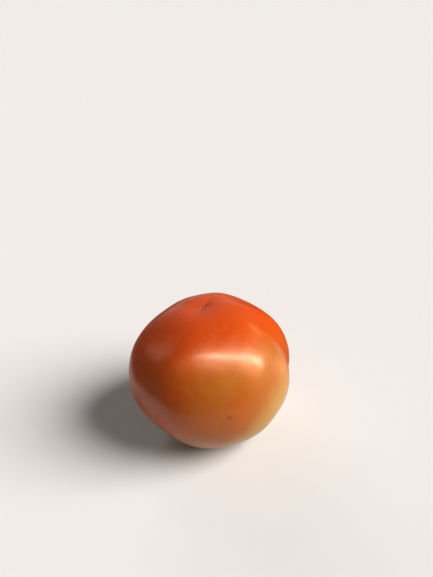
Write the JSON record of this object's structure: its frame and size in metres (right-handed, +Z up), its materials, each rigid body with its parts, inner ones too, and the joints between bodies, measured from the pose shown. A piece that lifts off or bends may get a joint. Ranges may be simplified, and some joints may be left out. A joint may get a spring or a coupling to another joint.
{
  "type": "tomato",
  "caption": "Ripening round tomato with shallow lobes, a blossom scar in a dimple on top and a stem cavity underneath, resting on its shoulders.",
  "frame": {"origin": "under the middle of the fruit's outline, on the surface that it rests on", "axes": "+Z up towards the blossom end, +X along the slightly wider direction, -Y towards the broad front lobe"},
  "size_m": [0.0764, 0.0754, 0.0623],
  "materials": {
    "tomato_skin": "Smooth waxy skin, orange-red at the blossom end and yellow-tan towards the stem end, with soft gloss."
  },
  "bodies": {
    "root": {"tomato": "tomato_skin"}
  },
  "joints": []
}
